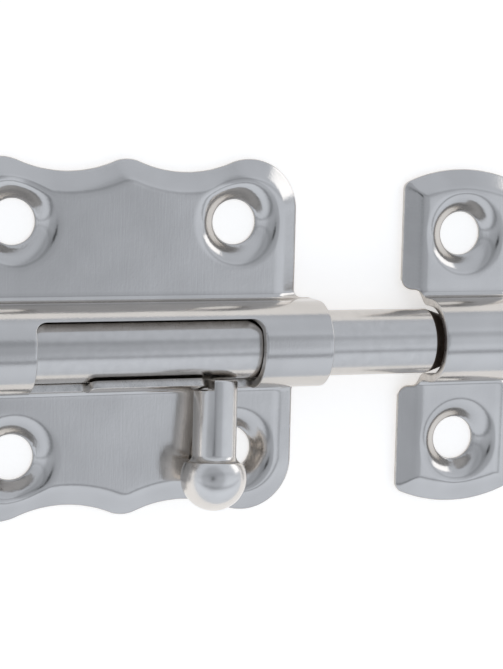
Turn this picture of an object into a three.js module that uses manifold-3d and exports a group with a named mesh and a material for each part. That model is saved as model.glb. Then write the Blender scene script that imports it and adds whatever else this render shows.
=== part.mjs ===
// A small surface barrel bolt: a pressed backplate with a tunnel, a round bolt with a
// turned ball knob, and a pressed keeper that takes the bolt's end.
//
// Millimetres. +X is the way the bolt is thrown, +Y runs across it, and +Z stands out
// from the door, whose surface is z = 0. While the pieces are made, x = 0 is the middle
// of the backplate and y = 0 is the bolt's own line. The last lines set the whole on its
// own middle.

import * as THREE from 'three';
import { ConvexGeometry } from 'three/addons/geometries/ConvexGeometry.js';
import { mergeVertices } from 'three/addons/utils/BufferGeometryUtils.js';
import Module from 'manifold-3d';

const wasm = await Module();
wasm.setup();

// ---- Driving dimensions ----

// Bar and sheet
const boltDiameter = 7.8;
const sheet = 0.95;
const slidingGap = 0.25; // around the bolt in the tunnel, and under it
const tipTaper = 3; // length of the taper that leads the tip into the keeper
const tipStep = 1; // how much the taper takes off the bolt's radius
const rearChamfer = 0.5;
const rearSetback = 1.5; // the bolt's rear end lies this far inside the tunnel
const boltEntry = 2.2; // how far the bolt's tip stands inside the keeper's mouth

// Pressed face, the same on both plates
const faceRise = 2.1; // front face above the door
const borderSlope = 28; // degrees that the border slopes down to the door
const screwHoleDiameter = 5.3;
const dimpleDiameter = 8.8; // where a screw dimple meets the face
const dimpleFloor = 0.35; // height of the sharp edge around a screw hole
const rootRadius = 0.8; // hollow fillet where the tunnel rises from the face

// Backplate
const plateLength = 42;
const plateWidth = 41.9;
const plateCorner = 6;
const valleyDepth = 1.6; // of the four shallow valleys in the long edges
const valleyShare = 0.475; // where a valley lies between the nub and the corner's centre
const nubDepth = 0.15; // how far the middle nubs stop short of the plate's width
const screwInsetAlong = 7.7; // screw centres from the plate's ends
const screwInsetAcross = 7.45; // and from its scalloped edges
const axisDrop = 0.6; // the tunnel lies this far below the plate's middle line
const tunnelOverhang = 1.9; // beyond each end of the plate

// Window in the tunnel
const windowFromRear = 8.65; // plate's rear end to the window
const windowFromFront = 6.55; // window to the plate's front end
const windowTop = 3.4; // the window's upper edge, across from the bolt's line
const windowCorner = 1.3;
const rearNotch = 7.7;
const forwardPlay = 1.5; // how much farther the knob's root can slide in its notch
const notchStep = 0.5; // from the top of the root fillets up to the notches' floors
const notchCorner = 0.7;

// Knob
const knobLift = 0.27; // the resting knob's lowest point above the face
const knobLean = 3; // degrees that the knob leans to the rear
const shankDiameter = 5.1;
const rootFlat = 0.95; // knob's middle to the flat that meets the lip's end
const lipGap = 0.15; // between the raised root and the lip that it passes over
const ballDiameter = 7.7;
const ballReach = 15.35; // bolt's line to the ball's centre
const collarDiameter = 6.9; // crisp rim where the shank flares into the ball

// Keeper
const keeperLength = 15.8;
const keeperWidth = 41.3;
const keeperEndRadius = 18.5;
const keeperCorner = 1.3;
const keeperCreaseCorner = 0.3; // where the slopes of two sides meet at the face
const keeperScrewInset = 7.9;
const keeperStandOff = 14; // between the two plates
const loopLength = 11;
const waistReach = 0.8; // from the loop's side to the tabs' inner edges
const waistCorner = 0.6;

// Facets
const boltFacets = 48;
const knobFacets = 36;
const dimpleFacets = 32;
const arcSteps = 5;
const tunnelSteps = 10;

// ---- Sizes that follow ----

const boltRadius = boltDiameter / 2;
const axisHeight = boltRadius + slidingGap;
const tunnelInner = boltRadius + slidingGap;
const tunnelOuter = tunnelInner + sheet;
const plateEnd = plateLength / 2;
const tunnelEnd = plateEnd + tunnelOverhang;

const slope = THREE.MathUtils.degToRad(borderSlope);
const edgeHeight = sheet * Math.cos(slope); // the cut edge is square to the sheet
const border = (faceRise - edgeHeight) / Math.tan(slope);

const windowRear = -plateEnd + windowFromRear;
const windowFront = plateEnd - windowFromFront;
const lipRear = windowRear + rearNotch;

const shankRadius = shankDiameter / 2;
const ballRadius = ballDiameter / 2;
const rootReach = tunnelOuter + slidingGap; // where the knob's root meets its full shank

// The knob rests as low as its shank and its ball let it hang over the face.
const lowest = faceRise + knobLift - axisHeight;
const shankRaise = Math.asin(lowest / Math.hypot(rootReach, shankRadius))
  + Math.atan2(shankRadius, rootReach);
const ballRaise = Math.asin((lowest + ballRadius) / ballReach);
const raise = Math.max(shankRaise, ballRaise);

const notchFloor = faceRise + rootRadius + notchStep;
const lean = THREE.MathUtils.degToRad(knobLean);
const lipTop = axisHeight + tunnelInner * Math.tan(raise) - lipGap;
const rootBehind = rootFlat + tunnelOuter * Math.sin(lean); // the root's rear from its middle
const knobX = windowFront - slidingGap - forwardPlay - shankRadius;
const lipFront = knobX - rootBehind - slidingGap;

const keeperX = plateEnd + keeperStandOff + keeperLength / 2;
const mouthX = keeperX - loopLength / 2;
const boltTip = mouthX + boltEntry;
const boltRear = -tunnelEnd + rearSetback;

const past = 1; // how far a cutting shape runs past the faces it cuts

// ---- Helpers ----

// A closed three.js geometry as a solid that can be joined and cut.
function solid(geometry) {
  const bare = geometry.clone();
  bare.deleteAttribute('normal');
  bare.deleteAttribute('uv');
  const merged = mergeVertices(bare, 1e-4);
  return new wasm.Manifold(new wasm.Mesh({
    numProp: 3,
    vertProperties: Float32Array.from(merged.attributes.position.array),
    triVerts: Uint32Array.from(merged.index.array),
  }));
}

// A solid as a named mesh with its own finish.
function piece(name, body, finish) {
  const { vertProperties, triVerts } = body.getMesh();
  const geometry = new THREE.BufferGeometry();
  geometry.setAttribute('position', new THREE.BufferAttribute(vertProperties, 3));
  geometry.setIndex(new THREE.BufferAttribute(triVerts, 1));
  geometry.computeVertexNormals();
  const mesh = new THREE.Mesh(geometry, new THREE.MeshStandardMaterial(finish));
  mesh.name = name;
  return mesh;
}

// A shape drawn in plan, standing up from one height to another.
function upright(shape, fromZ, toZ) {
  const geometry = new THREE.ExtrudeGeometry(shape, {
    depth: toZ - fromZ, bevelEnabled: false, curveSegments: arcSteps,
  });
  return geometry.translate(0, 0, fromZ);
}

// A shape drawn as seen along the bolt (its x across, its y up), running along X.
function alongBolt(shape, fromX, toX) {
  const geometry = new THREE.ExtrudeGeometry(shape, {
    depth: toX - fromX, bevelEnabled: false, curveSegments: tunnelSteps,
  });
  const across = new THREE.Vector3(0, 1, 0);
  const up = new THREE.Vector3(0, 0, 1);
  const along = new THREE.Vector3(1, 0, 0);
  geometry.applyMatrix4(new THREE.Matrix4().makeBasis(across, up, along));
  return geometry.translate(fromX, 0, 0);
}

// A turned shape standing on z, from [radius, height] points that start and end on the axis.
function turned(points, facets) {
  const profile = points.map(([radius, height]) => new THREE.Vector2(radius, height));
  return new THREE.LatheGeometry(profile, facets).rotateX(Math.PI / 2);
}

// A rectangle with rounded corners, in plan.
function roundedRectangle(left, bottom, right, top, radius) {
  const shape = new THREE.Shape();
  shape.absarc(right - radius, top - radius, radius, 0, Math.PI / 2);
  shape.absarc(left + radius, top - radius, radius, Math.PI / 2, Math.PI);
  shape.absarc(left + radius, bottom + radius, radius, Math.PI, 1.5 * Math.PI);
  shape.absarc(right - radius, bottom + radius, radius, 1.5 * Math.PI, 2 * Math.PI);
  return shape;
}

// ---- Pressed forms ----

// The outside or the hollow of a tunnel: upright walls with a half round over the bolt.
function tunnel(radius, halfLength, foot) {
  const section = new THREE.Shape();
  section.moveTo(-radius, foot);
  section.lineTo(radius, foot);
  section.absarc(0, axisHeight, radius, 0, Math.PI);
  return solid(alongBolt(section, -halfLength, halfLength));
}

// The hollow fillets along both roots of a tunnel.
function rootFillets(halfLength) {
  const wall = tunnelOuter - sheet / 2;
  const edge = tunnelOuter + rootRadius;
  const section = new THREE.Shape();
  section.moveTo(-edge, faceRise - sheet / 2);
  section.lineTo(edge, faceRise - sheet / 2);
  section.lineTo(edge, faceRise);
  section.absarc(edge, faceRise + rootRadius, rootRadius, 1.5 * Math.PI, Math.PI, true);
  section.lineTo(wall, faceRise + rootRadius);
  section.lineTo(-wall, faceRise + rootRadius);
  section.absarc(-edge, faceRise + rootRadius, rootRadius, 0, -Math.PI / 2, true);
  return solid(alongBolt(section, -halfLength, halfLength));
}

// A sheet pressed over a platform with sloping sides, and over a tunnel. platform(foot, top)
// makes the platform between two levels, each an inset from the outline and a height. Its
// sides are upright from below the door to the foot. The hollow behind keeps the sheet's
// thickness everywhere, measured square to each face.
function pressedSheet(platform, tunnelHalf, filletHalf) {
  const footInset = sheet * Math.sin(slope);
  const hollowHeight = faceRise - sheet;
  const topInset = footInset + hollowHeight / Math.tan(slope);
  const outside = platform(
    { inset: 0, height: edgeHeight },
    { inset: border, height: faceRise },
  );
  const hollow = platform(
    { inset: footInset, height: 0 },
    { inset: topInset, height: hollowHeight },
  );
  return outside
    .add(tunnel(tunnelOuter, tunnelHalf, -past))
    .add(rootFillets(filletHalf))
    .subtract(hollow)
    .subtract(tunnel(tunnelInner, tunnelHalf + past, -2 * past));
}

// A body without whatever lies below the door.
function aboveDoor(body) {
  return body.trimByPlane([0, 0, 1], 0);
}

// A screw dimple: the face sinks in a cone to the door, with a hole through its floor.
function addDimple(body, x, y) {
  const holeRadius = screwHoleDiameter / 2;
  const mouthRadius = dimpleDiameter / 2;
  const flare = (mouthRadius - holeRadius) / (faceRise - dimpleFloor);
  const coneRadius = (z) => holeRadius + flare * (z - dimpleFloor);
  const wall = sheet * Math.hypot(1, flare);
  const under = faceRise - sheet / 2;
  const cup = turned([
    [0, -past], [coneRadius(-past) + wall, -past],
    [coneRadius(under) + wall, under], [0, under],
  ], dimpleFacets);
  const sink = turned([
    [0, -2 * past], [holeRadius, -2 * past], [holeRadius, dimpleFloor],
    [coneRadius(faceRise + past), faceRise + past], [0, faceRise + past],
  ], dimpleFacets);
  return body
    .add(solid(cup).translate([x, y, 0]))
    .subtract(solid(sink).translate([x, y, 0]));
}

// ---- Backplate ----

// Round corners, with two shallow valleys and a low nub between them on each long edge.
// Every arc touches the next, so the edge has no kink.
function plateOutline() {
  const halfWidth = plateWidth / 2;
  const cornerX = plateEnd - plateCorner;
  const cornerY = halfWidth - plateCorner;
  const valleyX = valleyShare * cornerX;
  const span = cornerX - valleyX;
  const valleyRadius = (span ** 2 - 2 * plateCorner * valleyDepth + valleyDepth ** 2)
    / (2 * valleyDepth);
  const valleyY = halfWidth - valleyDepth + valleyRadius;
  const drop = valleyDepth - nubDepth;
  const nubRadius = (valleyX ** 2 - 2 * valleyRadius * drop + drop ** 2) / (2 * drop);
  const nubY = halfWidth - nubDepth - nubRadius;
  const fromCorner = Math.atan2(valleyY - cornerY, valleyX - cornerX);
  const fromNub = Math.atan2(valleyY - nubY, valleyX);

  const shape = new THREE.Shape();
  for (const turn of [0, Math.PI]) {
    const side = Math.cos(turn);
    const arc = (x, y, radius, start, end, clockwise) => {
      shape.absarc(side * x, side * y, radius, start + turn, end + turn, clockwise);
    };
    arc(cornerX, cornerY, plateCorner, 0, fromCorner, false);
    arc(valleyX, valleyY, valleyRadius, fromCorner + Math.PI, fromNub + Math.PI, true);
    arc(0, nubY, nubRadius, fromNub, Math.PI - fromNub, false);
    arc(-valleyX, valleyY, valleyRadius, -fromNub, -fromCorner, true);
    arc(-cornerX, cornerY, plateCorner, Math.PI - fromCorner, Math.PI, false);
  }
  return shape;
}

// The backplate's platform. A bevelled extrusion slopes both ways from its middle, and its
// lower half lies below the door.
function platePlatform(foot, top) {
  const geometry = new THREE.ExtrudeGeometry(plateOutline(), {
    depth: foot.height + past,
    bevelThickness: top.height - foot.height,
    bevelSize: top.inset - foot.inset,
    bevelOffset: -top.inset,
    bevelSegments: 1,
    curveSegments: arcSteps,
  });
  return solid(geometry.translate(0, axisDrop, -past));
}

// The window over the bolt, open down to the lip, and a deeper notch at each end that the
// knob can drop into.
function cutWindow(body) {
  const high = axisHeight + tunnelOuter + past;
  const foot = -tunnelOuter - past;
  const opening = roundedRectangle(windowRear, foot, windowFront, windowTop, windowCorner);
  const across = roundedRectangle(windowRear, foot, windowFront, 0, notchCorner);
  const rear = roundedRectangle(windowRear, foot, lipRear, 0, notchCorner);
  const front = roundedRectangle(lipFront, foot, windowFront, 0, notchCorner);
  return body
    .subtract(solid(upright(opening, lipTop, high)))
    .subtract(solid(upright(across, lipTop, high)))
    .subtract(solid(upright(rear, notchFloor, high)))
    .subtract(solid(upright(front, notchFloor, high)));
}

function backplate() {
  let body = pressedSheet(platePlatform, tunnelEnd, plateEnd - border);
  for (const x of [-1, 1]) {
    for (const y of [-1, 1]) {
      const alongX = x * (plateEnd - screwInsetAlong);
      const acrossY = axisDrop + y * (plateWidth / 2 - screwInsetAcross);
      body = addDimple(body, alongX, acrossY);
    }
  }
  return aboveDoor(cutWindow(body));
}

// ---- Keeper ----

// Straight sides and a long curve at each end, with small round corners, all moved in by
// inset.
function keeperOutline(inset) {
  const corner = Math.max(keeperCorner - inset, keeperCreaseCorner);
  const endRadius = keeperEndRadius - inset;
  const endY = keeperWidth / 2 - keeperEndRadius;
  const cornerX = keeperLength / 2 - inset - corner;
  const cornerY = endY + Math.sqrt((endRadius - corner) ** 2 - cornerX ** 2);
  const meet = Math.atan2(cornerY - endY, cornerX);
  const shape = new THREE.Shape();
  for (const turn of [0, Math.PI]) {
    const side = Math.cos(turn);
    const arc = (x, y, radius, start, end) => {
      shape.absarc(side * x, side * y, radius, start + turn, end + turn);
    };
    arc(cornerX, cornerY, corner, 0, meet);
    arc(0, endY, endRadius, meet, Math.PI - meet);
    arc(-cornerX, cornerY, corner, Math.PI - meet, Math.PI);
  }
  return shape;
}

// The keeper's platform: its outline bulges outwards everywhere, so a hull over three
// levels, below the door, the foot and the top, is the whole form.
function keeperPlatform(foot, top) {
  const ring = (inset, height) => keeperOutline(inset)
    .getPoints(arcSteps)
    .map(({ x, y }) => new THREE.Vector3(x, y, height));
  return solid(new ConvexGeometry([
    ...ring(foot.inset, -past),
    ...ring(foot.inset, foot.height),
    ...ring(top.inset, top.height),
  ]));
}

// The two bites that leave the loop narrower than the screw tabs.
function cutWaist(body) {
  const inner = loopLength / 2;
  const outer = keeperLength / 2 + past;
  const half = tunnelOuter + waistReach;
  const high = axisHeight + tunnelOuter + past;
  const bite = roundedRectangle(inner, -half, outer + waistCorner, half, waistCorner);
  const right = solid(upright(bite, -2 * past, high));
  return body.subtract(right).subtract(right.mirror([1, 0, 0]));
}

function keeper() {
  const half = loopLength / 2;
  let body = pressedSheet(keeperPlatform, half, half);
  for (const y of [-1, 1]) {
    body = addDimple(body, 0, y * (keeperWidth / 2 - keeperScrewInset));
  }
  return aboveDoor(cutWaist(body)).translate([keeperX, 0, 0]);
}

// ---- Bolt and knob ----

// A plain round bar with a tapered tip.
function bolt() {
  const length = boltTip - boltRear;
  const bar = turned([
    [0, 0],
    [boltRadius - rearChamfer, 0],
    [boltRadius, rearChamfer],
    [boltRadius, length - tipTaper],
    [boltRadius - tipStep, length],
    [0, length],
  ], boltFacets);
  return solid(bar.rotateY(Math.PI / 2).translate(boltRear, 0, axisHeight));
}

// Shank, flared collar and ball, turned in one piece. Its root, inside the tunnel's wall, is
// cut flat below, where it passes over the lip, and on the rear, where it meets the lip's
// end. It is made standing on z over the bolt's line, then laid over to point out of the
// bolt's side.
function knob() {
  const collarRadius = collarDiameter / 2;
  const foot = boltRadius + slidingGap;
  const collarReach = ballReach - Math.sqrt(ballRadius ** 2 - collarRadius ** 2);
  const flare = collarRadius - shankRadius;
  const points = [
    [0, foot],
    [shankRadius, foot],
  ];
  for (let step = 0; step <= arcSteps; step += 1) {
    const angle = (step / arcSteps) * (Math.PI / 2);
    const radius = collarRadius - flare * Math.cos(angle);
    points.push([radius, collarReach - flare + flare * Math.sin(angle)]);
  }
  const rimAngle = Math.asin(collarRadius / ballRadius);
  const ballSteps = 2 * arcSteps;
  for (let step = 1; step < ballSteps; step += 1) {
    const angle = rimAngle + (step / ballSteps) * (Math.PI - rimAngle);
    points.push([ballRadius * Math.sin(angle), ballReach - ballRadius * Math.cos(angle)]);
  }
  points.push([0, ballReach + ballRadius]);
  const reach = 2 * ballReach;
  const offcut = () => solid(new THREE.BoxGeometry(reach, reach, reach));
  const middle = rootReach - reach / 2;
  return solid(turned(points, knobFacets))
    .subtract(offcut().translate([0, -reach / 2, middle]))
    .subtract(offcut().translate([-rootFlat - reach / 2, 0, middle]))
    .rotate([0, -knobLean, 0])
    .rotate([90 - THREE.MathUtils.radToDeg(raise), 0, 0])
    .translate([knobX, 0, axisHeight]);
}

// ---- The whole ----

const platedSteel = { color: 0xb9bcc0, roughness: 0.32, metalness: 1 };
const brightSteel = { color: 0xc6c8cb, roughness: 0.2, metalness: 1 };

const group = new THREE.Group();
group.add(
  piece('backplate', backplate(), platedSteel),
  piece('keeper', keeper(), platedSteel),
  piece('bolt', bolt(), platedSteel),
  piece('knob', knob(), brightSteel),
);

// The origin is on the door, under the middle of the whole.
const box = new THREE.Box3().setFromObject(group);
const middle = box.getCenter(new THREE.Vector3());
group.position.set(-middle.x, -middle.y, 0);

export default group;
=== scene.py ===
# %% [markdown]
# # A small surface barrel bolt in plated steel
#
# Four pieces make the real thing: a pressed backplate with a tunnel, a round bar that
# slides in it, a turned knob, and a pressed keeper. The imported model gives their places
# and the way that they move. This lesson gives each one its finer surface.

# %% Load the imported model
import math

import bmesh
import bpy
import numpy as np
from mathutils import Matrix, Vector
from mathutils.geometry import delaunay_2d_cdt


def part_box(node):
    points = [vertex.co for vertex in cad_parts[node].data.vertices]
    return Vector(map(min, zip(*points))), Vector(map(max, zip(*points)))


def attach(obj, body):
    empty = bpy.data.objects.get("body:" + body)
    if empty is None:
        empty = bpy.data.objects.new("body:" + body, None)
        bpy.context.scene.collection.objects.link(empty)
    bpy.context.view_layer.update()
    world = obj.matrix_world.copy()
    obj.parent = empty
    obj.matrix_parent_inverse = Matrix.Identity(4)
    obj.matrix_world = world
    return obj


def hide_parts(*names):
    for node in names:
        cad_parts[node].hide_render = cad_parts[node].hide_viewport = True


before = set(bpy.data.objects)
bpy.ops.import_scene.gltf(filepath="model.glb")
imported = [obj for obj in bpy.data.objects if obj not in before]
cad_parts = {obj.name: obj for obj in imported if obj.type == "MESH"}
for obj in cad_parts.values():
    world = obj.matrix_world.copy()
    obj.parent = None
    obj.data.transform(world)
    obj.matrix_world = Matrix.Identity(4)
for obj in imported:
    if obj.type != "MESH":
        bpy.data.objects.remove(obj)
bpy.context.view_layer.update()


def add_object(name, data):
    """A new object in the scene, with its data."""
    thing = bpy.data.objects.new(name, data)
    bpy.context.scene.collection.objects.link(thing)
    return thing


# %% [markdown]
# ## Where the pieces lie
#
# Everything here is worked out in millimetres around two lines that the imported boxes
# give: the bar's own line, and the middle of the backplate. Blender works in metres, so
# each finished point is scaled once, when its mesh is made.

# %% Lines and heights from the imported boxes
METRE = 1000.0


def in_millimetres(node):
    """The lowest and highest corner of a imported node, in millimetres."""
    low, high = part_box(node)
    return np.array(low) * METRE, np.array(high) * METRE


plate_low, plate_high = in_millimetres("backplate")
keeper_low, keeper_high = in_millimetres("keeper")
bar_low, bar_high = in_millimetres("bolt")

bar_radius = (bar_high[2] - bar_low[2]) / 2
bar_line = (bar_high[1] + bar_low[1]) / 2
bar_height = (bar_high[2] + bar_low[2]) / 2
plate_middle = (plate_high[0] + plate_low[0]) / 2
keeper_middle = (keeper_high[0] + keeper_low[0]) / 2
tunnel_radius = plate_high[2] - bar_height
print(f"bar radius {bar_radius:.2f}, its line at y {bar_line:.2f} and z {bar_height:.2f}")
print(f"tunnel radius {tunnel_radius:.2f}")
print(f"plate middle {plate_middle:.2f}, keeper middle {keeper_middle:.2f}")

# %% Sizes shared by both pressed pieces
SHEET = 0.95
FACE_RISE = 2.1
CUT_ROUND = 0.13
ROOT_RADIUS = 0.8
BORDER_SLOPE = math.radians(28)
BORDER_SOFT = 0.6
HOLE_RADIUS = 2.65
DIMPLE_RADIUS = 4.5
DIMPLE_FLOOR = 0.35
DIMPLE_LEDGE = 0.1
DIMPLE_SOFT = 0.95
LEDGE_SOFT = 0.1

edge_height = SHEET * math.cos(BORDER_SLOPE)
border_width = (FACE_RISE - edge_height) / math.tan(BORDER_SLOPE)
print(f"the border is {border_width:.2f} wide and ends {edge_height:.2f} above the door")

# %% [markdown]
# ## The camera
#
# A long lens looks down on the lock from its rear end, turned a little to the side. The
# three turns are given in degrees, and the camera's own axes come from them. Its place
# is given along those axes: a little to the side of the plate's middle and far back.

# %% Aim the camera
CAMERA_YAW = 20.46
CAMERA_PITCH = 6.73
CAMERA_ROLL = -1.33
CAMERA_PLACE = Vector((14.98, 0.354, 221.5))
PLATE_CENTRE_ABOVE_LINE = 0.6
LENS = 102.5
SENSOR = 36.0
NEAREST = 0.01


def turned_camera():
    """The camera's axes as the columns of a matrix."""
    yaw = Matrix.Rotation(math.radians(CAMERA_YAW), 3, "Y")
    pitch = Matrix.Rotation(math.radians(CAMERA_PITCH), 3, "X")
    roll = Matrix.Rotation(math.radians(CAMERA_ROLL), 3, "Z")
    return (roll @ pitch @ yaw).transposed()


camera_axes = turned_camera()
plate_centre = Vector((plate_middle, bar_line + PLATE_CENTRE_ABOVE_LINE, 0))
camera_data = bpy.data.cameras.new("camera")
camera_data.lens = LENS
camera_data.sensor_width = SENSOR
camera_data.clip_start = NEAREST
camera = add_object("camera", camera_data)
camera_place = (camera_axes @ CAMERA_PLACE + plate_centre) / METRE
camera.matrix_world = Matrix.Translation(camera_place) @ camera_axes.to_4x4()
bpy.context.scene.camera = camera
print("camera at", [round(value, 4) for value in camera_place])

# %% [markdown]
# ## Floor and light
#
# Bright plated steel shows little of itself: it shows the room. Product photographers
# put it in a white tent that is greyer round the lens. Here the world is that tent. Its
# brightness follows the angle from the lens, and the slant across the lock, where two
# seams of the tent are a little darker. One softbox near the table's level puts a glint
# on the edges that face it. The floor glows a little, like a light table, so that
# shadows on it stay faint. A dark matt sheet lies hidden under the tunnel as painted
# shade: the glowing floor would stay bright there, so the sheet makes the gaps beside
# the bar look into darkness, as they do on a door.

# %% Pour a pale floor
FLOOR_SIZE = 1.6
FLOOR_GAP = 0.00005
FLOOR_COLOUR = (0.84, 0.79, 0.73, 1)
FLOOR_GLOW = 0.53
# The dark sheet is painted shade under the tunnel, where the glowing floor would not darken.
SHADE_SHEET_COLOUR = (0.020, 0.015, 0.012, 1)
SHADE_SHEET_LENGTH = 0.041
SHADE_SHEET_WIDTH = 0.0082
MATT_ROUGHNESS = 0.9
MATT_SHEEN = 0.1


def flat_stage(name, length, width, place, colour, glow):
    """A flat matt rectangle that isn't part of the lock."""
    x, y = length / 2, width / 2
    mesh = bpy.data.meshes.new(name)
    mesh.from_pydata([(-x, -y, 0), (x, -y, 0), (x, y, 0), (-x, y, 0)], [], [(0, 1, 2, 3)])
    finish = bpy.data.materials.new(name)
    finish.use_nodes = True
    shader = finish.node_tree.nodes["Principled BSDF"]
    shader.inputs["Base Color"].default_value = colour
    shader.inputs["Roughness"].default_value = MATT_ROUGHNESS
    shader.inputs["Specular IOR Level"].default_value = MATT_SHEEN
    shader.inputs["Emission Color"].default_value = (1, 1, 1, 1)
    shader.inputs["Emission Strength"].default_value = glow
    mesh.materials.append(finish)
    surface = add_object(name, mesh)
    surface.location = place


flat_stage("pale_floor", FLOOR_SIZE, FLOOR_SIZE, (0, 0, -FLOOR_GAP), FLOOR_COLOUR, FLOOR_GLOW)
# Painted shade: a dark matt sheet under the tunnel, so the gaps beside the bar look dark.
shade_sheet_place = (plate_middle / METRE, bar_line / METRE, FLOOR_GAP)
flat_stage("painted_shade_sheet", SHADE_SHEET_LENGTH, SHADE_SHEET_WIDTH, shade_sheet_place, SHADE_SHEET_COLOUR, 0)
bpy.context.scene.view_settings.view_transform = "Standard"

# %% Put up the tent
# Degrees from the lens, and the tent's brightness there.
TENT = [
    (0, 0.05), (5, 0.06), (8, 0.50), (14, 0.60), (25, 0.66), (35, 0.66), (39, 0.71),
    (42, 0.84), (46, 0.95), (56, 1.0), (90, 1.0),
]
# Degrees across the lock from straight up, and how much of that brightness is left.
SLANT = [
    (-90, 0.90), (-60, 1.02), (-40, 1.06), (-33, 1.0), (-29, 0.56), (-24, 0.56), (-20, 0.98),
    (-11, 1.08), (-2, 0.96), (10, 0.98), (20, 0.74), (26, 0.74), (31, 0.95), (45, 0.84),
    (58, 0.84), (72, 0.86), (90, 0.72),
]
TENT_TINT = (0.80, 0.88, 1.0)
RAMP_DEGREES = 180  # what each ramp spans


def brightness_ramp(tree, angle, table):
    """A ramp that follows a table of degrees and brightness."""
    start = table[0][0]
    share = tree.nodes.new("ShaderNodeMapRange")
    share.inputs["From Min"].default_value = math.radians(start)
    share.inputs["From Max"].default_value = math.radians(start + RAMP_DEGREES)
    tree.links.new(angle, share.inputs["Value"])
    ramp = tree.nodes.new("ShaderNodeValToRGB")
    stops = ramp.color_ramp.elements
    while len(stops) < len(table):
        stops.new(0.5)
    for stop, (degrees, bright) in zip(stops, table):
        stop.position = (degrees - start) / RAMP_DEGREES
        stop.color = (bright, bright, bright, 1)
    tree.links.new(share.outputs["Result"], ramp.inputs["Fac"])
    return ramp.outputs["Color"]


def angle_from_lens(tree, direction):
    """The angle between a direction and the one that leads to the lens."""
    toward_lens = tree.nodes.new("ShaderNodeVectorMath")
    toward_lens.operation = "DOT_PRODUCT"
    toward_lens.inputs[1].default_value = camera_axes.col[2]
    tree.links.new(direction, toward_lens.inputs[0])
    from_lens = tree.nodes.new("ShaderNodeMath")
    from_lens.operation = "ARCCOSINE"
    tree.links.new(toward_lens.outputs["Value"], from_lens.inputs[0])
    return from_lens.outputs[0]


def slant_across(tree, direction):
    """The angle of a direction from straight up, across the lock."""
    axes = tree.nodes.new("ShaderNodeSeparateXYZ")
    tree.links.new(direction, axes.inputs[0])
    slant = tree.nodes.new("ShaderNodeMath")
    slant.operation = "ARCTAN2"
    tree.links.new(axes.outputs["Y"], slant.inputs[0])
    tree.links.new(axes.outputs["Z"], slant.inputs[1])
    return slant.outputs[0]


def light_tent():
    """A world whose brightness follows the angle from the lens and the slant."""
    world = bpy.data.worlds.new("light tent")
    bpy.context.scene.world = world
    world.use_nodes = True
    tree = world.node_tree
    direction = tree.nodes.new("ShaderNodeTexCoord").outputs["Generated"]
    tent = brightness_ramp(tree, angle_from_lens(tree, direction), TENT)
    across = brightness_ramp(tree, slant_across(tree, direction), SLANT)
    cloth = tree.nodes.new("ShaderNodeVectorMath")
    cloth.operation = "MULTIPLY"
    cloth.inputs[1].default_value = TENT_TINT
    tree.links.new(tent, cloth.inputs[0])
    background = tree.nodes["Background"]
    tree.links.new(cloth.outputs["Vector"], background.inputs["Color"])
    tree.links.new(across, background.inputs["Strength"])


light_tent()
print("tent brightness from", TENT[0][1], "at the lens to", TENT[-1][1], "at the sides")

# %% Hang one softbox
SOFTBOX_PLACE = Vector((0.36, 0.18, 0.06))
SOFTBOX_SIZE = 0.22
SOFTBOX_POWER = 0.16


def softbox():
    """A square lamp near the table's level, aimed at the lock."""
    lamp = bpy.data.lights.new("softbox", "AREA")
    lamp.shape = "SQUARE"
    lamp.size = SOFTBOX_SIZE
    lamp.energy = SOFTBOX_POWER
    box = add_object("softbox", lamp)
    box.location = SOFTBOX_PLACE
    box.rotation_euler = (-SOFTBOX_PLACE).to_track_quat("-Z", "Y").to_euler()


softbox()
print("softbox at", list(SOFTBOX_PLACE))

# %% [markdown]
# ## Plated finishes
#
# Nickel plating is a little warm. One reflection of a cool tent looks neutral, and two
# or three, down in a gap, turn brown, which is why gaps in plated work look brown. The
# rolled sheet keeps a fine grain that runs across the lock, and the drawn bar keeps
# long scratches that run along it. Both come from noise that is stretched one way, and
# drive roughness, colour and a very small bump. The inside of a narrow tunnel is given
# a dark brown painted shade, for the gloom in there, and so is the bar's tip.

# %% Helpers for the finishes
NICKEL = (0.620, 0.585, 0.548)
# A dark brown painted shade: the colour of the gloom inside the tunnels and the keeper's
# mouth.
PAINTED_SHADE_BROWN = (0.105, 0.080, 0.062)
NOISE_LOW = 0.3  # nearly all of a noise lies between these two
NOISE_HIGH = 0.7
BLOTCH_SEED = 3.0
BUMP_SEED = 7.0


def stretched_noise(tree, stretch, scale, detail=4.0, seed=0.0):
    """Noise over the piece's own coordinates, drawn out by a stretch along each axis."""
    place = tree.nodes.new("ShaderNodeTexCoord")
    mapping = tree.nodes.new("ShaderNodeMapping")
    mapping.inputs["Scale"].default_value = stretch
    mapping.inputs["Location"].default_value = (seed, seed, seed)
    noise = tree.nodes.new("ShaderNodeTexNoise")
    noise.inputs["Scale"].default_value = scale
    noise.inputs["Detail"].default_value = detail
    tree.links.new(place.outputs["Object"], mapping.inputs["Vector"])
    tree.links.new(mapping.outputs["Vector"], noise.inputs["Vector"])
    return noise.outputs["Fac"]


def between(tree, source, low, high):
    """A noise's range moved to another range."""
    remap = tree.nodes.new("ShaderNodeMapRange")
    remap.inputs["From Min"].default_value = NOISE_LOW
    remap.inputs["From Max"].default_value = NOISE_HIGH
    remap.inputs["To Min"].default_value = low
    remap.inputs["To Max"].default_value = high
    tree.links.new(source, remap.inputs["Value"])
    return remap.outputs["Result"]


def shades(tree, source, darker, lighter):
    """A colour between two, by a value."""
    mix = tree.nodes.new("ShaderNodeMix")
    mix.data_type = "RGBA"
    mix.inputs["A"].default_value = (*darker, 1)
    mix.inputs["B"].default_value = (*lighter, 1)
    tree.links.new(source, mix.inputs["Factor"])
    return mix.outputs["Result"]


def scaled(colour, factor):
    """A colour made darker or lighter."""
    return tuple(channel * factor for channel in colour)


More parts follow.
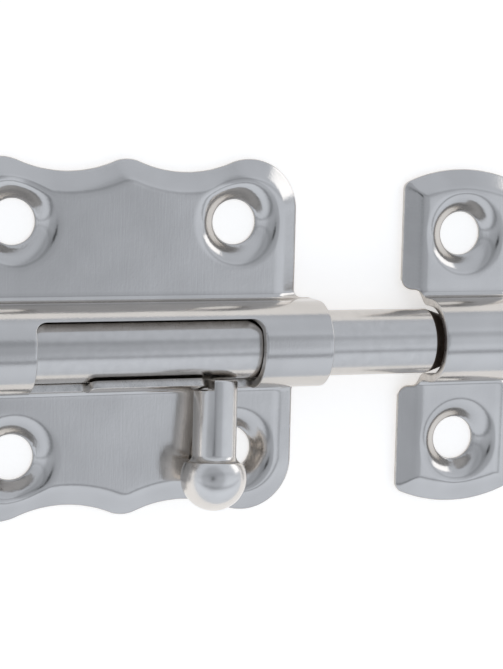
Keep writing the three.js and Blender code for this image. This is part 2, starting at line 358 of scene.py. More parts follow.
def add_bumps(tree, layers):
    """Chains (height, distance in metres, strength) layers into one bumped normal."""
    normal = None
    for height, distance, strength in layers:
        bump = tree.nodes.new("ShaderNodeBump")
        bump.inputs["Distance"].default_value = distance
        bump.inputs["Strength"].default_value = strength
        tree.links.new(height, bump.inputs["Height"])
        if normal is not None:
            tree.links.new(normal, bump.inputs["Normal"])
        normal = bump.outputs["Normal"]
    return normal


def plated(name, grain, blotches, roughness, bumps, metal=NICKEL, contrast=0.06):
    """A plated metal: grain and blotches are stretched noises, roughness is its lowest and
    highest value, and bumps are (stretch, scale, distance, strength) layers."""
    finish = bpy.data.materials.new(name)
    finish.use_nodes = True
    tree = finish.node_tree
    shader = tree.nodes["Principled BSDF"]
    shader.inputs["Metallic"].default_value = 1.0
    fine = stretched_noise(tree, *grain)
    broad = stretched_noise(tree, *blotches, detail=2.0, seed=BLOTCH_SEED)
    colour = shades(tree, between(tree, broad, 0, 1), scaled(metal, 1 - contrast), metal)
    tree.links.new(colour, shader.inputs["Base Color"])
    tree.links.new(between(tree, fine, *roughness), shader.inputs["Roughness"])
    layers = []
    for index, (stretch, scale, distance, strength) in enumerate(bumps):
        height = stretched_noise(tree, stretch, scale, seed=BUMP_SEED + index)
        layers.append((height, distance, strength))
    tree.links.new(add_bumps(tree, layers), shader.inputs["Normal"])
    return finish


# %% The five finishes
ACROSS = (1.0, 0.05, 1.0)
ALONG = (0.04, 1.0, 1.0)
EVEN = (1.0, 1.0, 1.0)
KNOB_BRIGHTER = 1.16

sheet_finish = plated(
    "plated sheet",
    grain=(ACROSS, 9000.0),
    blotches=(EVEN, 160.0),
    roughness=(0.12, 0.19),
    bumps=[
        (ACROSS, 5200.0, 0.000008, 0.7),
        (EVEN, 3600.0, 0.00001, 0.6),
        (EVEN, 450.0, 0.00002, 0.12),
    ],
    contrast=0.10,
)
cut_finish = plated(
    "sheared edge",
    grain=(EVEN, 6000.0),
    blotches=(EVEN, 900.0),
    roughness=(0.24, 0.42),
    bumps=[(EVEN, 3500.0, 0.00001, 0.4)],
    contrast=0.18,
)
bar_finish = plated(
    "drawn bar",
    grain=(ALONG, 7000.0),
    blotches=(ALONG, 900.0),
    roughness=(0.15, 0.27),
    bumps=[(ALONG, 3200.0, 0.000004, 0.45), (EVEN, 2600.0, 0.000006, 0.25)],
)
knob_finish = plated(
    "turned knob",
    grain=((0.3, 0.3, 1.0), 9000.0),
    blotches=(EVEN, 400.0),
    roughness=(0.19, 0.27),
    bumps=[((0.15, 0.15, 1.0), 5000.0, 0.000003, 0.35), (EVEN, 1400.0, 0.000005, 0.15)],
    metal=scaled(NICKEL, KNOB_BRIGHTER),
)
# Painted shade: dark brown steel for the gloom inside the tunnels and on the bar's tip.
painted_shade_finish = plated(
    "painted shade steel",
    grain=(EVEN, 5000.0),
    blotches=(EVEN, 700.0),
    roughness=(0.32, 0.5),
    bumps=[(EVEN, 3000.0, 0.000008, 0.4)],
    metal=PAINTED_SHADE_BROWN,
    contrast=0.35,
)
print("finishes:", [finish.name for finish in bpy.data.materials])

# %% [markdown]
# ## Pressed sheet, cut flat and then formed
#
# A press shop cuts a flat blank first and then forms it. The mesh is made the same way.
# The blank is a flat outline with openings, filled with small triangles. Each of its
# points is then carried to the formed face, and the same points, set back by the
# sheet's thickness, make the inside. A modifier could add the thickness, but then the
# rounding of each cut edge would depend on the triangles next to it.
#
# Across the lock the blank is measured along its surface: over the tunnel, down its
# wall, round the hollow root and out over the face.

# %% Carry the blank's width over the tunnel
ARCH_END = tunnel_radius * math.pi / 2
WALL_END = ARCH_END + bar_height - FACE_RISE - ROOT_RADIUS
ROOT_END = WALL_END + ROOT_RADIUS * math.pi / 2
FACE_START = tunnel_radius + ROOT_RADIUS


def over_tunnel(width):
    """The place across the lock and the height for a place on the blank's width, and how
    much of the face's own dips it takes part in."""
    away = np.abs(width)
    turn = away / tunnel_radius
    sink = (away - WALL_END) / ROOT_RADIUS
    where = [away < ARCH_END, away < WALL_END, away < ROOT_END]
    across = np.select(where, [
        tunnel_radius * np.sin(turn),
        np.full_like(away, tunnel_radius),
        FACE_START - ROOT_RADIUS * np.cos(sink),
    ], FACE_START + away - ROOT_END)
    height = np.select(where, [
        bar_height + tunnel_radius * np.cos(turn),
        bar_height - (away - ARCH_END),
        FACE_RISE + ROOT_RADIUS * (1 - np.sin(sink)),
    ], FACE_RISE)
    share = np.clip((away - ARCH_END) / (WALL_END - ARCH_END), 0, 1)
    return np.copysign(across, width), height, share


def blank_width(across):
    """The place on the blank's width for a place on the face beside the tunnel."""
    return math.copysign(ROOT_END + abs(across) - FACE_START, across)


print(f"the blank is {2 * ARCH_END:.1f} mm wide over the tunnel's half round")

# %% [markdown]
# ## Sloping borders and screw dimples
#
# The face stands off the door, so its border slopes down to the edge, and each screw
# hole sits in a dimple. Both are a dip below the face that depends on a distance: from
# the outline, or from a screw's centre. The bends between them are rounded by a ramp
# that starts softly.

# %% Dips in the face
def soft_ramp(run, soft):
    """Nothing below zero and the run itself above, with a rounded bend between."""
    bend = (run + soft) ** 2 / (4 * soft)
    return np.where(run < -soft, 0.0, np.where(run > soft, run, bend))


def soft_limit(value, limit, soft):
    """The value, levelled off softly at a limit."""
    return limit - soft_ramp(limit - value, soft)


def border_dip(inside):
    """The dip at a distance inside the outline."""
    dip = soft_ramp(border_width - inside, BORDER_SOFT) * math.tan(BORDER_SLOPE)
    return np.minimum(dip, FACE_RISE - edge_height)


def dimple_dip(from_screw):
    """The dip at a distance from a screw's centre."""
    deepest = FACE_RISE - DIMPLE_FLOOR
    slope = deepest / (DIMPLE_RADIUS - HOLE_RADIUS - DIMPLE_LEDGE)
    dip = soft_ramp(DIMPLE_RADIUS - from_screw, DIMPLE_SOFT) * slope
    return soft_limit(dip, deepest, LEDGE_SOFT)


def distance_inside(points, outline):
    """How far each point is inside a closed outline; less than nothing outside it."""
    start = outline
    side = np.roll(outline, -1, axis=0) - start
    lengths = (side ** 2).sum(1)
    nearest = np.full(len(points), np.inf)
    for (sx, sy), (dx, dy), length in zip(start, side, lengths):
        along = ((points[:, 0] - sx) * dx + (points[:, 1] - sy) * dy) / length
        along = np.clip(along, 0, 1)
        gap = np.hypot(points[:, 0] - sx - along * dx, points[:, 1] - sy - along * dy)
        nearest = np.minimum(nearest, gap)
    return np.where(is_inside(points, outline), nearest, -nearest)


def is_inside(points, outline):
    """Which points are inside a closed outline, by counting the sides to their right."""
    inside = np.zeros(len(points), bool)
    x, y = points[:, 0], points[:, 1]
    for (ax, ay), (bx, by) in zip(outline, np.roll(outline, -1, axis=0)):
        if ay == by:
            continue
        crosses = ((ay > y) != (by > y)) & (x < ax + (y - ay) * (bx - ax) / (by - ay))
        inside ^= crosses
    return inside


# %% Form one face
PROBE = 0.01  # how far apart the points lie that give a normal
LEAST_RISE = 0.05  # of a normal, where the sheet stands on edge
THINNEST = 0.05  # share of the sheet's thickness


def formed_face(blank, outline, screws):
    """Carries the blank's points to the outer face: x along, y across and z up, measured
    from the piece's middle and the bar's line."""
    across, height, share = over_tunnel(blank[:, 1])
    plan = np.column_stack([blank[:, 0], across])
    dip = border_dip(distance_inside(plan, outline))
    for screw in screws:
        dip = dip + dimple_dip(np.hypot(*(plan - screw).T))
    return np.column_stack([plan, height - share * dip])


def formed_sheet(blank, depth, form, drift=None):
    """The formed points, set back into the sheet by a depth. Where the sheet comes down
    on the door it is pressed thinner, so that it never goes through. Drift moves the
    deeper points along the blank, for a cut that isn't square to the sheet."""
    if drift is not None:
        blank = blank + drift(blank) * depth / SHEET
    face = form(blank)
    along = form(blank + (PROBE, 0)) - form(blank - (PROBE, 0))
    across = form(blank + (0, PROBE)) - form(blank - (0, PROBE))
    normal = np.cross(along, across)
    normal /= np.linalg.norm(normal, axis=1)[:, None]
    room = face[:, 2] / np.maximum(normal[:, 2], LEAST_RISE) / SHEET
    thinner = np.clip(room, THINNEST, 1)
    return face - normal * (depth * thinner)[:, None]


# %% [markdown]
# ## Outlines
#
# Each outline is a short list of corners, every one with its own radius, or a chain of
# arcs that touch. Small steps along them make the cut edges look smooth.

# %% Outlines from corners and arcs
EDGE_STEP = 0.24
SHORTEST_STEP = EDGE_STEP / 10
STEP_SLACK = 0.01  # a side this little over a whole number of steps isn't divided again


def arc(centre, radius, start, end):
    """Points along an arc between two angles."""
    count = max(3, math.ceil(abs(end - start) * radius / EDGE_STEP) + 1)
    turn = np.linspace(start, end, count)
    return np.column_stack([
        centre[0] + radius * np.cos(turn),
        centre[1] + radius * np.sin(turn),
    ])


def rounded_corner(before, corner, after, radius):
    """The arc that rounds one corner of an outline."""
    back = (before - corner) / np.linalg.norm(before - corner)
    on = (after - corner) / np.linalg.norm(after - corner)
    half = math.acos(np.clip(back @ on, -1, 1)) / 2
    middle = (back + on) / np.linalg.norm(back + on)
    centre = corner + middle * radius / math.sin(half)
    first = corner + back * radius / math.tan(half) - centre
    last = corner + on * radius / math.tan(half) - centre
    start = math.atan2(first[1], first[0])
    sweep = math.atan2(first[0] * last[1] - first[1] * last[0], first @ last)
    return arc(centre, radius, start, start + sweep)


def rounded_outline(corners):
    """A closed outline from (x, y, radius) corners. A corner with no radius stays a point."""
    places = [np.array(corner[:2], float) for corner in corners]
    parts = []
    for index, (place, corner) in enumerate(zip(places, corners)):
        if corner[2] == 0:
            parts.append(place[None])
            continue
        before = places[index - 1]
        after = places[(index + 1) % len(places)]
        parts.append(rounded_corner(before, place, after, corner[2]))
    return small_steps(np.concatenate(parts))


def small_steps(outline):
    """A closed outline with long sides divided and repeated points left out."""
    path = []
    for start, end in zip(outline, np.roll(outline, -1, axis=0)):
        length = np.linalg.norm(end - start)
        if length < SHORTEST_STEP:
            continue
        count = math.ceil(length / EDGE_STEP - STEP_SLACK)
        for step in range(count):
            path.append(start + (end - start) * step / count)
    return np.array(path)


def material_on_left(outline, is_hole):
    """The outline turned so that the sheet lies to its left."""
    x, y = outline.T
    area = (x * np.roll(y, -1) - np.roll(x, -1) * y).sum()
    return outline[::-1] if (area > 0) == is_hole else outline


def moved_in(outline, inset):
    """The outline moved into the sheet that lies to its left."""
    side = np.roll(outline, -1, axis=0) - outline
    side /= np.linalg.norm(side, axis=1)[:, None]
    run = side + np.roll(side, 1, axis=0)
    run /= np.linalg.norm(run, axis=1)[:, None]
    return outline + inset * np.column_stack([-run[:, 1], run[:, 0]])


# %% [markdown]
# ## Filling the blank and closing its edges
#
# Blender's own triangulator fills the space between the outlines from a grid of points.
# The grid lines across the blank are closer where it bends. Short rings of faces round
# over each cut edge from the outside to the inside, because even a sharp sheared edge
# catches a thin line of light.

# %% Fill, thicken and round over
GRID_STEP = 0.3
ARCH_STEP = GRID_STEP * 0.8
BEND_STEP = 0.16
CLEAR_OF_EDGE = GRID_STEP * 0.6
ROUND_STEPS = 3
WELD = 1e-6


def grid_lines(half_length, half_width):
    """Places along and across the blank, closer where it bends."""
    along = np.linspace(-half_length, half_length, round(2 * half_length / GRID_STEP) + 1)
    stops = [0, ARCH_END, WALL_END, ROOT_END, half_width]
    steps = [ARCH_STEP, ARCH_STEP, BEND_STEP, GRID_STEP]
    across = [
        np.linspace(low, high, round((high - low) / step) + 1)[1:]
        for low, high, step in zip(stops, stops[1:], steps)
    ]
    upper = np.concatenate(across)
    return along, np.concatenate([-upper[::-1], [0], upper])


def grid_inside(lines, loops):
    """Grid points that are well inside the sheet."""
    grid = np.array(np.meshgrid(*lines)).reshape(2, -1).T
    keep = is_inside(grid, loops[0])
    for hole in loops[1:]:
        keep &= ~is_inside(grid, hole)
    grid = grid[keep]
    clear = np.full(len(grid), True)
    for loop in loops:
        for point in loop:
            clear &= np.abs(grid - point).sum(1) > CLEAR_OF_EDGE
    return grid[clear]


def filled(points, loops):
    """Triangles that fill the sheet between its outlines, whose points come first."""
    edges = []
    start = 0
    for size in map(len, loops):
        ring = range(start, start + size)
        edges += [(index, start + (index - start + 1) % size) for index in ring]
        start += size
    flat = [Vector(point) for point in points]
    corners, _, faces, origins, _, _ = delaunay_2d_cdt(flat, edges, [], 0, WELD)
    source = np.array([origin[0] for origin in origins])
    triangles = source[np.array(faces)]
    middles = points[triangles].mean(axis=1)
    keep = is_inside(middles, loops[0])
    for hole in loops[1:]:
        keep &= ~is_inside(middles, hole)
    return triangles[keep]


def edge_profile():
    """(inset, depth) steps that round over a cut edge from the outside to the inside."""
    turns = np.linspace(0, math.pi / 2, ROUND_STEPS + 1)
    outside = [(CUT_ROUND * (1 - math.sin(t)), CUT_ROUND * (1 - math.cos(t))) for t in turns]
    inside = [(inset, SHEET - depth) for inset, depth in reversed(outside)]
    return outside + inside


def rounded_edge(loop, outer, inner, start, form, drift):
    """The points and faces that round over one cut edge, between its points on the sheet's
    outer and inner sides. The new points are counted from a start."""
    points = []
    rings = [outer]
    for inset, depth in edge_profile()[1:-1]:
        points.append(formed_sheet(moved_in(loop, inset), depth, form, drift))
        rings.append(np.arange(start, start + len(loop)))
        start += len(loop)
    rings.append(inner)
    faces = []
    for upper, lower in zip(rings, rings[1:]):
        onward, below = np.roll(upper, -1), np.roll(lower, -1)
        faces += np.column_stack([upper, lower, below, onward]).tolist()
    return points, faces


def closed_sheet(blank, triangles, loops, form, drift):
    """The points and faces of both sides of the sheet, and then of its cut edges."""
    count = len(blank)
    points = [formed_sheet(blank, depth, form, drift) for depth in (0.0, SHEET)]
    faces = triangles.tolist() + (triangles[:, ::-1] + count).tolist()
    first = 0
    for loop in loops:
        outer = np.arange(first, first + len(loop))
        start = sum(map(len, points))
        ring_points, ring_faces = rounded_edge(loop, outer, outer + count, start, form, drift)
        points += ring_points
        faces += ring_faces
        first += len(loop)
    return np.concatenate(points), faces


def sheet_slots(blank, triangles, face_count):
    """Each face's finish: 0 is plated, 1 is a sheared edge, 2 is painted shade inside the
    tunnel.
    """
    in_tunnel = np.abs(blank[triangles, 1]).max(axis=1) < WALL_END
    slots = [0] * len(triangles) + (2 * in_tunnel).tolist()
    return slots + [1] * (face_count - len(slots))


def pressed_piece(name, outline, openings, form, middle, drift=None):
    """A closed mesh of formed sheet with rounded cut edges."""
    loops = [material_on_left(outline, False)]
    loops += [material_on_left(opening, True) for opening in openings]
    inner_loops = [moved_in(loop, CUT_ROUND) for loop in loops]
    grid = grid_inside(grid_lines(*np.abs(outline).max(axis=0)), inner_loops)
    blank = np.concatenate(inner_loops + [grid])
    triangles = filled(blank, inner_loops)
    points, faces = closed_sheet(blank, triangles, loops, form, drift)

    place = np.array([middle, bar_line, 0])
    mesh = bpy.data.meshes.new(name)
    mesh.from_pydata(((points + place) / METRE).tolist(), [], faces)
    for finish in (sheet_finish, cut_finish, painted_shade_finish):
        mesh.materials.append(finish)
    slots = sheet_slots(blank, triangles, len(faces))
    mesh.polygons.foreach_set("material_index", slots)
    mesh.polygons.foreach_set("use_smooth", [True] * len(faces))
    mesh.validate()
    print(f"{name}: {len(mesh.polygons)} faces from {len(loops)} outlines")
    return add_object(name, mesh)


# %% [markdown]
# ## The backplate
#
# Its long edges are scalloped: between round corners lie two shallow valleys and a low
# nub. Each arc touches the next one, so the centre and radius of every arc follow from
# the valley's depth and place.

# %% The backplate's outline
PLATE_HALF_LENGTH = 21.0
PLATE_HALF_WIDTH = 20.95
PLATE_CORNER = 6.0
VALLEY_DEPTH = 1.6
VALLEY_SHARE = 0.475
NUB_DEPTH = 0.15


def scalloped_edge():
    """The upper half of the plate's outline, from its right side to its left."""
    corner_x = PLATE_HALF_LENGTH - PLATE_CORNER
    corner_y = PLATE_HALF_WIDTH - PLATE_CORNER
    valley_x = VALLEY_SHARE * corner_x
    span = corner_x - valley_x
    valley_radius = (span ** 2 + VALLEY_DEPTH ** 2) / (2 * VALLEY_DEPTH) - PLATE_CORNER
    valley_y = PLATE_HALF_WIDTH - VALLEY_DEPTH + valley_radius
    drop = VALLEY_DEPTH - NUB_DEPTH
    nub_radius = (valley_x ** 2 + drop ** 2) / (2 * drop) - valley_radius
    nub_y = PLATE_HALF_WIDTH - NUB_DEPTH - nub_radius
    to_valley = math.atan2(valley_y - corner_y, valley_x - corner_x)
    to_nub = math.atan2(valley_y - nub_y, valley_x)
    right = np.concatenate([
        arc((corner_x, corner_y), PLATE_CORNER, 0, to_valley),
        arc((valley_x, valley_y), valley_radius, to_valley + math.pi, to_nub + math.pi),
        arc((0, nub_y), nub_radius, to_nub, math.pi / 2),
    ])
    left = right[::-1] * (-1, 1)
    return np.concatenate([right, left[1:]])


upper_edge = scalloped_edge()
lower_edge = -upper_edge
above_line = np.array([0, PLATE_CENTRE_ABOVE_LINE])
plate_outline = small_steps(np.concatenate([upper_edge, lower_edge]) + above_line)
print(f"plate outline: {len(plate_outline)} points")

# %% [markdown]
# The tunnel runs a little past both ends of the plate, so its blank has a tab at each
# end. The window over the bar is one opening. Its lower side has a lip in the middle,
# and a notch on each side of it where the knob can drop in. The lip stands higher here
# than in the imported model, whose joints move one at a time: on the real lock the knob
# has to be turned up before the bar slides, and here it would cut the lip if it weren't.

# %% The backplate's blank
TUNNEL_HALF = (plate_high[0] - plate_low[0]) / 2
TAB_BELOW_WALL = 0.45
TAB_EDGE = WALL_END + TAB_BELOW_WALL
TAB_HOLLOW = 0.9
TAB_CORNER = 0.35
WINDOW_REAR = -12.35
WINDOW_FRONT = 14.45
WINDOW_TOP = 3.4
WINDOW_CORNER = 1.3
LIP_REAR = -5.6
LIP_FRONT = 8.1
LIP_HEIGHT = 7.1
LIP_CORNER = 0.9
NOTCH_FLOOR = 3.4
NOTCH_CORNER = 0.7
DRIFT_REACH = 3.0


def on_blank(edge):
    """An edge drawn in plan, as corners on the flat blank."""
    return [(x, blank_width(y + PLATE_CENTRE_ABOVE_LINE), 0) for x, y in edge]


def tunnel_tab(side):
    """The corners of the tab that becomes the tunnel's end."""
    end, root = side * TUNNEL_HALF, side * PLATE_HALF_LENGTH
    return [
        (root, -side * TAB_EDGE, TAB_HOLLOW),
        (end, -side * TAB_EDGE, TAB_CORNER),
        (end, side * TAB_EDGE, TAB_CORNER),
        (root, side * TAB_EDGE, TAB_HOLLOW),
    ]


def window():
    """The opening over the bar, with a notch on each side of the lip."""
    top = tunnel_radius * math.asin(WINDOW_TOP / tunnel_radius)
    lip = -tunnel_radius * math.acos((LIP_HEIGHT - bar_height) / tunnel_radius)
    foot = -(ARCH_END + bar_height - NOTCH_FLOOR)
    return rounded_outline([
        (WINDOW_REAR, top, WINDOW_CORNER),
        (WINDOW_REAR, foot, NOTCH_CORNER),
        (LIP_REAR, foot, NOTCH_CORNER),
        (LIP_REAR, lip, LIP_CORNER),
        (LIP_FRONT, lip, LIP_CORNER),
        (LIP_FRONT, foot, NOTCH_CORNER),
        (WINDOW_FRONT, foot, NOTCH_CORNER),
        (WINDOW_FRONT, top, WINDOW_CORNER),
    ])


def straight_down(blank):
    """The window's upper edge is punched straight down, so deeper in the sheet it lies
    farther up the arch. The drift fades out away from that edge."""
    outer = tunnel_radius * math.asin(WINDOW_TOP / tunnel_radius)
    inner = tunnel_radius * math.asin(WINDOW_TOP / (tunnel_radius - SHEET))
    middle = (WINDOW_REAR + WINDOW_FRONT) / 2
    side = (WINDOW_FRONT - WINDOW_REAR) / 2 - np.abs(blank[:, 0] - middle)
    fade = np.clip(1 - (blank[:, 1] - outer) / DRIFT_REACH, 0, 1)
    share = fade * np.clip(side / WINDOW_CORNER, 0, 1) * (blank[:, 1] > 0)
    return np.column_stack([np.zeros(len(blank)), (inner - outer) * share])


def screw_hole(screw):
    """A screw hole's outline on the blank."""
    on_flat = (screw[0], blank_width(screw[1]))
    return small_steps(arc(on_flat, HOLE_RADIUS, 0, 2 * math.pi)[:-1])


# %% Press the backplate
SCREW_ALONG = 13.3
SCREW_ACROSS = 13.5

plate_screws = [
    np.array([side * SCREW_ALONG, PLATE_CENTRE_ABOVE_LINE + edge * SCREW_ACROSS])
    for side in (-1, 1) for edge in (-1, 1)
]
plate_blank = rounded_outline(
    on_blank(upper_edge) + tunnel_tab(-1) + on_blank(lower_edge) + tunnel_tab(1)
)


def plate_form(blank):
    """The backplate's formed face."""
    return formed_face(blank, plate_outline, plate_screws)


backplate = pressed_piece(
    "pressed_backplate",
    plate_blank,
    [window()] + [screw_hole(screw) for screw in plate_screws],
    plate_form,
    plate_middle,
    straight_down,
)
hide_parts("backplate")
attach(backplate, "backplate")

# %% [markdown]
# ## The keeper
#
# The keeper is the same pressing on a smaller blank: two screw tabs with bulging ends,
# and a narrower loop between them that takes the bar's end.

# %% The keeper's outline and blank
KEEPER_HALF_LENGTH = (keeper_high[0] - keeper_low[0]) / 2
KEEPER_HALF_WIDTH = (keeper_high[1] - keeper_low[1]) / 2
KEEPER_END_RADIUS = 18.5
KEEPER_CORNER = 1.3
KEEPER_SCREW = 12.75
LOOP_HALF = 5.5
WAIST_CORNER = 1.2
WAIST_HOLLOW = 1.0


def keeper_end():
    """The bulging end of the upper tab, from its right side to its left."""
    end_y = KEEPER_HALF_WIDTH - KEEPER_END_RADIUS
    corner_x = KEEPER_HALF_LENGTH - KEEPER_CORNER
    corner_y = end_y + math.sqrt((KEEPER_END_RADIUS - KEEPER_CORNER) ** 2 - corner_x ** 2)
    meet = math.atan2(corner_y - end_y, corner_x)
    return np.concatenate([
        arc((corner_x, corner_y), KEEPER_CORNER, 0, meet),
        arc((0, end_y), KEEPER_END_RADIUS, meet, math.pi - meet)[1:-1],
        arc((-corner_x, corner_y), KEEPER_CORNER, math.pi - meet, math.pi),
    ])


def waist(side):
    """The corners on one side, where the tabs narrow to the loop."""
    tab, loop = side * KEEPER_HALF_LENGTH, side * LOOP_HALF
    return [
        (tab, -side * ROOT_END, WAIST_CORNER),
        (loop, -side * ROOT_END, WAIST_HOLLOW),
        (loop, side * ROOT_END, WAIST_HOLLOW),
        (tab, side * ROOT_END, WAIST_CORNER),
    ]


upper_end = keeper_end()
keeper_outline = small_steps(np.concatenate([upper_end, -upper_end]))
upper_tab = [(x, blank_width(y), 0) for x, y in upper_end]
lower_tab = [(-x, -width, 0) for x, width, _ in upper_tab]
keeper_blank = rounded_outline(upper_tab + waist(-1) + lower_tab + waist(1))
keeper_screws = [np.array([0, edge * KEEPER_SCREW]) for edge in (-1, 1)]

# %% Press the keeper
def keeper_form(blank):
    """The keeper's formed face."""
    return formed_face(blank, keeper_outline, keeper_screws)


keeper = pressed_piece(
    "pressed_keeper",
    keeper_blank,
    [screw_hole(screw) for screw in keeper_screws],
    keeper_form,
    keeper_middle,
)
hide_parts("keeper")
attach(keeper, "keeper")

# %% [markdown]
# ## Turned pieces
#
# The bar and the knob come off a lathe, so each one is a profile spun round a line. A
# Screw modifier could spin it, and a short function does the same and closes both ends
# with a point.

# %% Spin a profile
FACETS = 128
LEAST_BEND = math.radians(12)  # a corner that bends less stays as it is
EASE_SHARES = (0, 0.25, 0.5, 0.75, 1)


def spun_faces(rows, last):
    """Faces between rows of points round a line, closed by a first and a last point."""
    faces = []
    for index in range(FACETS):
        after = (index + 1) % FACETS
        faces.append((0, 1 + after, 1 + index))
        faces.append((last, last - FACETS + index, last - FACETS + after))
        for row in range(rows - 1):
            low, high = 1 + row * FACETS, 1 + (row + 1) * FACETS
            faces.append((low + index, low + after, high + after, high + index))
    return faces


def spun(name, profile, placement, finish):
    """A closed mesh from [radius, height] points, spun round Z and then placed."""
    turn = np.linspace(0, 2 * math.pi, FACETS, endpoint=False)
    ring = np.column_stack([np.cos(turn), np.sin(turn)])
    middle = profile[1:-1]
    points = [(0, 0, profile[0][1])]
    for radius, height in middle:
        points += [(radius * x, radius * y, height) for x, y in ring]
    points.append((0, 0, profile[-1][1]))
    faces = spun_faces(len(middle), len(points) - 1)
    mesh = bpy.data.meshes.new(name)
    mesh.from_pydata((np.array(points) / METRE).tolist(), [], faces)
    mesh.materials.append(finish)
    mesh.polygons.foreach_set("use_smooth", [True] * len(faces))
    piece = add_object(name, mesh)
    piece.matrix_world = placement
    print(f"{name}: {len(faces)} faces")
    return piece


def eased(profile, rounding):
    """A profile whose inner corners are rounded by a small radius."""
    points = [np.array(point, float) for point in profile]
    path = [points[0]]
    for before, corner, after in zip(points, points[1:], points[2:]):
        room = min(np.linalg.norm(before - corner), np.linalg.norm(after - corner)) / 2
        back = (before - corner) / np.linalg.norm(before - corner)
        on = (after - corner) / np.linalg.norm(after - corner)
        bend = math.pi - math.acos(np.clip(back @ on, -1, 1))
        if bend < LEAST_BEND:
            path.append(corner)
            continue
        reach = min(room, rounding * math.tan(bend / 2))
        for share in EASE_SHARES:
            start = corner + back * reach * (1 - share)
            end = corner + on * reach * share
            path.append(start * (1 - share) + end * share)
    return path + [points[-1]]


# %% [markdown]
# ## The bar
#
# A plain drawn bar. The rear end is chamfered, and the tip has a longer taper, because it
# has to find the keeper's mouth.

# %% Turn the bar
TIP_TAPER = 3.0
TIP_STEP = 1.0
REAR_CHAMFER = 0.5
BAR_ROUNDING = 0.35

bar_length = bar_high[0] - bar_low[0]


def bar_profile():
    """The bar's profile, from its rear end to its tip."""
    return eased([
        (0, 0),
        (bar_radius - REAR_CHAMFER, 0),
        (bar_radius, REAR_CHAMFER),
        (bar_radius, bar_length - TIP_TAPER),
        (bar_radius - TIP_STEP, bar_length),
        (0, bar_length),
    ], BAR_ROUNDING)


def paint_tip_shade(mesh):
    """Gives the faces of the bar's tip the dark painted shade, for the gloom in the keeper's
    mouth.
    """
    mesh.materials.append(painted_shade_finish)
    for face in mesh.polygons:
        if face.center.z * METRE > bar_length - TIP_TAPER:
            face.material_index = 1


bar_start = Vector((bar_low[0], bar_line, bar_height)) / METRE
bar = spun(
    "drawn_bar",
    bar_profile(),
    Matrix.Translation(bar_start) @ Matrix.Rotation(math.pi / 2, 4, "Y"),
    bar_finish,
)
# The tip is painted dark as shade inside the keeper's mouth.
paint_tip_shade(bar.data)
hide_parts("bolt")
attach(bar, "bolt")

# %% [markdown]
# ## The knob
#
# The shank flares to a crisp rim and ends in a ball. Its root passes through the window,
# so two flats are filed on it: one below, and one on the rear, towards the lip's end. The
# lathe's shape comes first, and a Boolean modifier takes each flat off it.

# %% The knob's profile
KNOB_ALONG = 10.15
KNOB_RAISE = 8.0
KNOB_LEAN = 3.0
ROOT_TO_BAR = 0.12
KNOB_START = bar_radius + ROOT_TO_BAR
SHANK_RADIUS = 2.55
ROOT_PAST_TUNNEL = 0.25
ROOT_END_REACH = tunnel_radius + ROOT_PAST_TUNNEL
REAR_FLAT = 0.95
RIM_RADIUS = 3.45
BALL_RADIUS = 3.85
BALL_REACH = 15.35
KNOB_ROUNDING = 0.3
ARC_STEPS = 14
BALL_STEPS = 40


def knob_profile():
    """The knob's profile, from its root to the end of the ball."""
    rim_reach = BALL_REACH - math.sqrt(BALL_RADIUS ** 2 - RIM_RADIUS ** 2)
    flare = RIM_RADIUS - SHANK_RADIUS
    stem = eased([
        (0, KNOB_START),
        (SHANK_RADIUS, KNOB_START),
        (SHANK_RADIUS, rim_reach - flare),
    ], KNOB_ROUNDING)
    hollow = [
        (RIM_RADIUS - flare * math.cos(turn), rim_reach - flare + flare * math.sin(turn))
        for turn in np.linspace(0, math.pi / 2, ARC_STEPS)[1:]
    ]
    rim_turn = math.asin(RIM_RADIUS / BALL_RADIUS)
    ball = [
        (BALL_RADIUS * math.sin(turn), BALL_REACH - BALL_RADIUS * math.cos(turn))
        for turn in np.linspace(rim_turn, math.pi, BALL_STEPS)[1:-1]
    ]
    return stem + hollow + ball + [(0, BALL_REACH + BALL_RADIUS)]


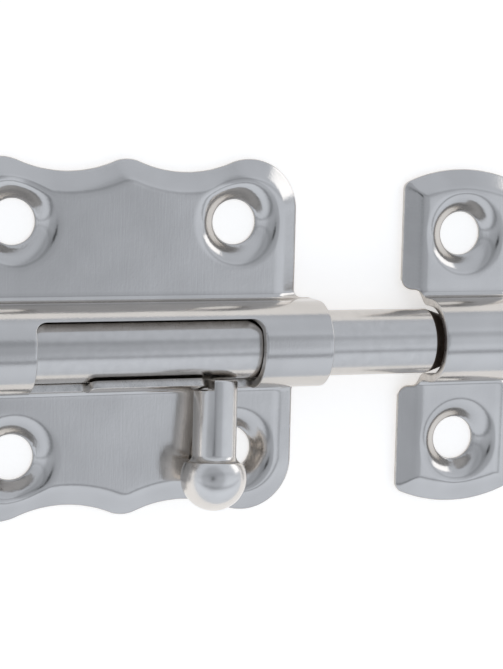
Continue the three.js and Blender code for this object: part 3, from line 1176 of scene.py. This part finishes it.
# %% Turn the knob and file its flats
FLAT_ROUNDING = 0.08
FLAT_SEGMENTS = 2
SHARP_ANGLE = math.radians(40)


def file_off(piece, low, high):
    """Cuts a box, given by two corners in millimetres, off a piece."""
    block = bmesh.new()
    bmesh.ops.create_cube(block, size=1)
    size = np.array(high) - low
    for vertex in block.verts:
        vertex.co = Vector((np.array(vertex.co) + 0.5) * size + low) / METRE
    mesh = bpy.data.meshes.new("file")
    block.to_mesh(mesh)
    block.free()
    tool = add_object("file", mesh)
    cut = piece.modifiers.new("file", "BOOLEAN")
    cut.operation = "DIFFERENCE"
    cut.solver = "EXACT"
    cut.object = tool
    bake_modifiers(piece)
    bpy.data.objects.remove(tool)


def bake_modifiers(piece):
    """Makes what the modifiers do part of the piece's own mesh."""
    graph = bpy.context.evaluated_depsgraph_get()
    baked = bpy.data.meshes.new_from_object(piece.evaluated_get(graph))
    piece.modifiers.clear()
    old = piece.data
    piece.data = baked
    baked.name = old.name
    bpy.data.meshes.remove(old)


def soften(piece, width):
    """Rounds a piece's sharp edges."""
    bevel = piece.modifiers.new("soften", "BEVEL")
    bevel.width = width / METRE
    bevel.segments = FLAT_SEGMENTS
    bevel.limit_method = "ANGLE"
    bevel.angle_limit = SHARP_ANGLE
    bake_modifiers(piece)


knob = spun("turned_knob", knob_profile(), Matrix.Identity(4), knob_finish)
wide = 2 * BALL_RADIUS
file_off(knob, (-wide, -wide, 0), (wide, 0, ROOT_END_REACH))
file_off(knob, (-wide, -wide, 0), (-REAR_FLAT, wide, ROOT_END_REACH))
soften(knob, FLAT_ROUNDING)
print(f"filed knob: {len(knob.data.polygons)} faces")

# %% Set the knob in its place
knob_foot = Vector((plate_middle + KNOB_ALONG, bar_line, bar_height)) / METRE
outward = Matrix.Rotation(math.radians(90 - KNOB_RAISE), 4, "X")
leaning = Matrix.Rotation(math.radians(-KNOB_LEAN), 4, "Y")
knob.matrix_world = Matrix.Translation(knob_foot) @ outward @ leaning
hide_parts("knob")
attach(knob, "knob")
